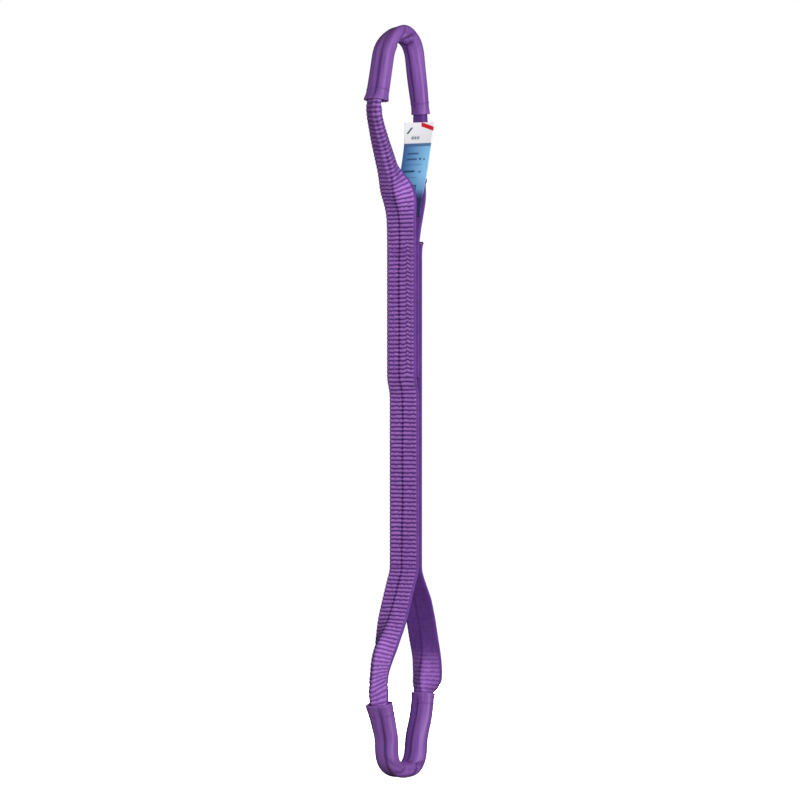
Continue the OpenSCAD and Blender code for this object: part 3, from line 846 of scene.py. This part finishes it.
# ----------------------------------------
# Seared end. The back ply is cut with a hot knife just above the lap, which melts its yarn ends
# into a hard dark bead.
# ----------------------------------------
BEAD_ROWS, BEAD_SIDES = 80, 12
BEAD_X, BEAD_Z, BEAD_HALF = 12.1, -151.9, 15.4
bead_y = np.linspace(-BEAD_HALF, BEAD_HALF, BEAD_ROWS)
bead_a = np.linspace(0, 2 * math.pi, BEAD_SIDES, endpoint=False)
lumps = 1 + 0.12 * np.sin(bead_y * 2.1) + 0.08 * np.sin(bead_y * 5.3 + 1)
taper = np.sqrt(np.clip(1 - (np.abs(bead_y) / 15.45) ** 12, 0.01, 1))
bead = np.stack([BEAD_X + np.cos(bead_a)[None] * (2.3 * lumps * taper)[:, None],
                 np.broadcast_to(bead_y[:, None], (BEAD_ROWS, BEAD_SIDES)),
                 BEAD_Z + np.sin(bead_a)[None] * (1.6 * lumps * taper)[:, None]], 2)
index = np.arange(BEAD_ROWS * BEAD_SIDES).reshape(BEAD_ROWS, BEAD_SIDES)
faces = tube_faces(index).tolist()
# each round end is closed with quads fanned from its first point
fans = [[int(r[0]), int(r[k]), int(r[k + 1]), int(r[k + 2])][::way]
        for r, way in ((index[0], -1), (index[-1], 1)) for k in range(1, BEAD_SIDES - 2, 2)]
melt = mesh_object("web_seared_end", bead.reshape(-1, 3), faces + fans, {})

# Melted polyester: glassy dark beads of yarn ends about 2 mm across.
seared, fibre, shader = new_material("melted polyester yarn")
lump = noise_in(fibre, 600.0, 3.0)
fibre.links.new(mix(fibre, lump, linear("24102F"), linear("5B347A")), shader.inputs["Base Color"])
shader.inputs["Roughness"].default_value = 0.35
bump(fibre, shader, lump, 0.5, 0.0004)
melt.data.materials.append(seared)
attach(melt, "lap")

# ----------------------------------------
# Label. A woven polyester ribbon 29 mm wide with a printed face, sewn into the throat with its
# free end up against the inner face of the right leg. White head, blue body, plain printed bars.
# ----------------------------------------
LABEL_WIDTH = 29.0
LABEL_HALF = 0.24           # half its thickness
flap_path = np.array([(19.0, -54.5), (18.8, -62), (17.4, -75), (14.6, -94), (11.8, -113)])
# printed bars: left and right edge (towards -Y), top and bottom edge (down), depth of the ink
blocks = [(-9.5, 3.0, 24.2, 26.0, 0.7), (-9.5, 2.0, 28.8, 30.6, 0.75),
          (4.0, 6.6, 28.6, 30.8, 0.8), (8.6, 10.6, 29.0, 30.8, 0.8),
          (-10.0, 8.0, 33.6, 34.8, 0.35), (-11.0, 1.5, 38.6, 40.6, 0.9),
          (5.0, 8.5, 39.2, 41.0, 0.65), (-10.0, 5.0, 44.0, 45.2, 0.35),
          (0.6, 2.2, 50.5, 58.0, 0.9), (4.4, 6.0, 50.5, 58.0, 0.9),
          (2.0, 4.6, 50.5, 52.2, 0.85), (2.0, 4.6, 56.2, 58.0, 0.85)]


def label_strip(name, path, start, shift, twist):
    """A stretch of label along path, start millimetres down from its top, with its printing."""
    lengths = np.concatenate([[0], np.cumsum(np.hypot(*np.diff(path, axis=0).T))])
    down = np.arange(0, lengths[-1] + 0.01, lengths[-1] / round(lengths[-1] / 0.34))
    cx, cz = np.interp(down, lengths, path[:, 0]), np.interp(down, lengths, path[:, 1])
    reach = 12
    kernel = np.hanning(2 * reach + 1) / np.hanning(2 * reach + 1).sum()
    cx, cz = (np.convolve(np.pad(v, reach, mode="reflect", reflect_type="odd"), kernel, "valid")
              for v in (cx, cz))
    tx, tz = np.gradient(cx), np.gradient(cz)
    nx, nz = tz / np.hypot(tx, tz), -tx / np.hypot(tx, tz)   # towards the eye's middle
    u = np.linspace(-LABEL_WIDTH / 2, LABEL_WIDTH / 2, 86)
    swing = np.radians(twist) * np.clip(1 - down / 24, 0, 1)[:, None] ** 1.5
    bow = 0.5 * (u[None] / (LABEL_WIDTH / 2)) ** 2 * np.cos(down / 13)[:, None]
    y = -u[None] * np.cos(swing) - 1.0 - (shift - 1.0) * np.clip(1 - down / 60, 0, 1)[:, None]
    n = -u[None] * np.sin(swing) + bow
    layers = []
    for side in (LABEL_HALF, -LABEL_HALF):
        out = n + side
        layers.append(np.stack([cx[:, None] + out * nx[:, None], y + 0 * out,
                                cz[:, None] + out * nz[:, None]], 2))
    rows, cols = len(down), len(u)
    index = np.arange(rows * cols).reshape(rows, cols)
    a, b, c, d = index[:-1, :-1], index[:-1, 1:], index[1:, 1:], index[1:, :-1]
    face = np.stack([a, b, c, d], 2).reshape(-1, 4)
    other = face[:, ::-1] + index.size
    rim = np.concatenate([index[0], index[1:, -1], index[-1, -2::-1], index[-2:0:-1, 0]])
    after = np.roll(rim, -1)
    lip = np.stack([after, rim, rim + index.size, after + index.size], 1)
    w = down[:, None] + start + 0 * u[None]
    uu = u[None] + 0 * w
    head = np.clip((17.0 - w) / 0.4, 0, 1)
    band = np.clip((19.6 - w) / 0.4, 0, 1) * (1 - head)
    slant = w - 2.6 - 0.30 * (uu - 5)
    red = np.clip((1.9 - np.abs(slant)) / 0.35, 0, 1) * np.clip((uu - 1.5) / 0.35, 0, 1) * (w < 12)
    mark = np.clip((1.2 - np.abs((uu + 9.5) + 0.9 * (w - 6.5))) / 0.3, 0, 1) * (
        np.abs(w - 6.5) < 2.6)
    dots = sum(np.clip(1.6 - np.hypot(uu - at, w - 12.4) / 1.2, 0, 1) for at in (-6.0, -3.2, -0.2))
    dark = np.zeros_like(w)
    for left, right, top, low, depth in blocks:
        here = (np.clip((uu - left) / 0.3, 0, 1) * np.clip((right - uu) / 0.3, 0, 1)
                * np.clip((w - top) / 0.3, 0, 1) * np.clip((low - w) / 0.3, 0, 1))
        dark = np.maximum(dark, here * depth)
    ink = {"head": head, "band": band, "red": red, "mark": np.maximum(mark, 0.75 * dots),
           "dark": dark, "across": uu, "down": w}
    back_ink = {k: v if k in ("head", "across", "down") else 0 * w for k, v in ink.items()}
    thing = mesh_object(name, np.concatenate([q.reshape(-1, 3) for q in layers]),
                        np.concatenate([face, other, lip]).tolist(),
                        {k: np.concatenate([ink[k].ravel(), back_ink[k].ravel()]) for k in ink})
    thing.data.materials.append(printed)
    return thing, lengths[-1]


# Coated polyester label ribbon: satin with a fine cross rib from its picks, printed flat inks.
printed, film, shader = new_material("printed polyester label ribbon")
value = {k: attribute(film, k)
         for k in ("head", "band", "red", "mark", "dark", "across", "down")}
fade = add(film, "ShaderNodeMapRange", {"Value": value["across"], 1: -13.0, 2: 11.0, 3: 0.0,
                                        4: 1.0}).outputs[0]
tint = mix(film, fade, linear("3C6AA4"), linear("8CCBF2"))
lower = add(film, "ShaderNodeMapRange", {"Value": value["down"], 1: 42.0, 2: 62.0, 3: 0.0,
                                         4: 0.75}).outputs[0]
tint = mix(film, lower, tint, linear("3A5FA0"))
tint = mix(film, maths(film, "MULTIPLY", value["band"], 0.8), tint, linear("47658E"))
tint = mix(film, value["dark"], tint, linear("1F3C66"))
# painted shade: the label darkens towards its sewn end, which lies in shade inside the throat
painted_tail_shade = add(film, "ShaderNodeMapRange", {"Value": value["down"], 1: 54.0, 2: 62.0, 3: 0.0,
                                            4: 0.9}).outputs[0]
tint = mix(film, painted_tail_shade, tint, linear("2A2258"))
tint = mix(film, value["head"], tint, linear("F6F7F8"))
tint = mix(film, value["red"], tint, linear("D8202C"))
tint = mix(film, value["mark"], tint, linear("4A5A78"))
film.links.new(tint, shader.inputs["Base Color"])
shader.inputs["Roughness"].default_value = 0.42
shader.inputs["Coat Weight"].default_value = 0.15
shader.inputs["Coat Roughness"].default_value = 0.3
picks = add(film, "ShaderNodeTexWave", {"Vector": add(film, "ShaderNodeCombineXYZ", {
    0: value["down"]}).outputs[0], "Scale": 0.5}, bands_direction="X").outputs["Fac"]
bump(film, shader, picks, 0.2, 0.0002)

flap, flap_length = label_strip("label_flap", flap_path, 0.0, 6.0, 8.0)
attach(flap, "label")
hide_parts("label")
tail_path = np.array([(11.8, -113.2), (10.2, -121), (8.6, -130)])
tail, tail_length = label_strip("label_sewn_end", tail_path, flap_length, 1.0, 0.0)
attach(tail, "lap")
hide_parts("label_tail")
stitches("stitches_label", [level(11.7, -112.0, 12, front)], "leg_top_right",
         ["label_stitch"], 2.4, 1.9)
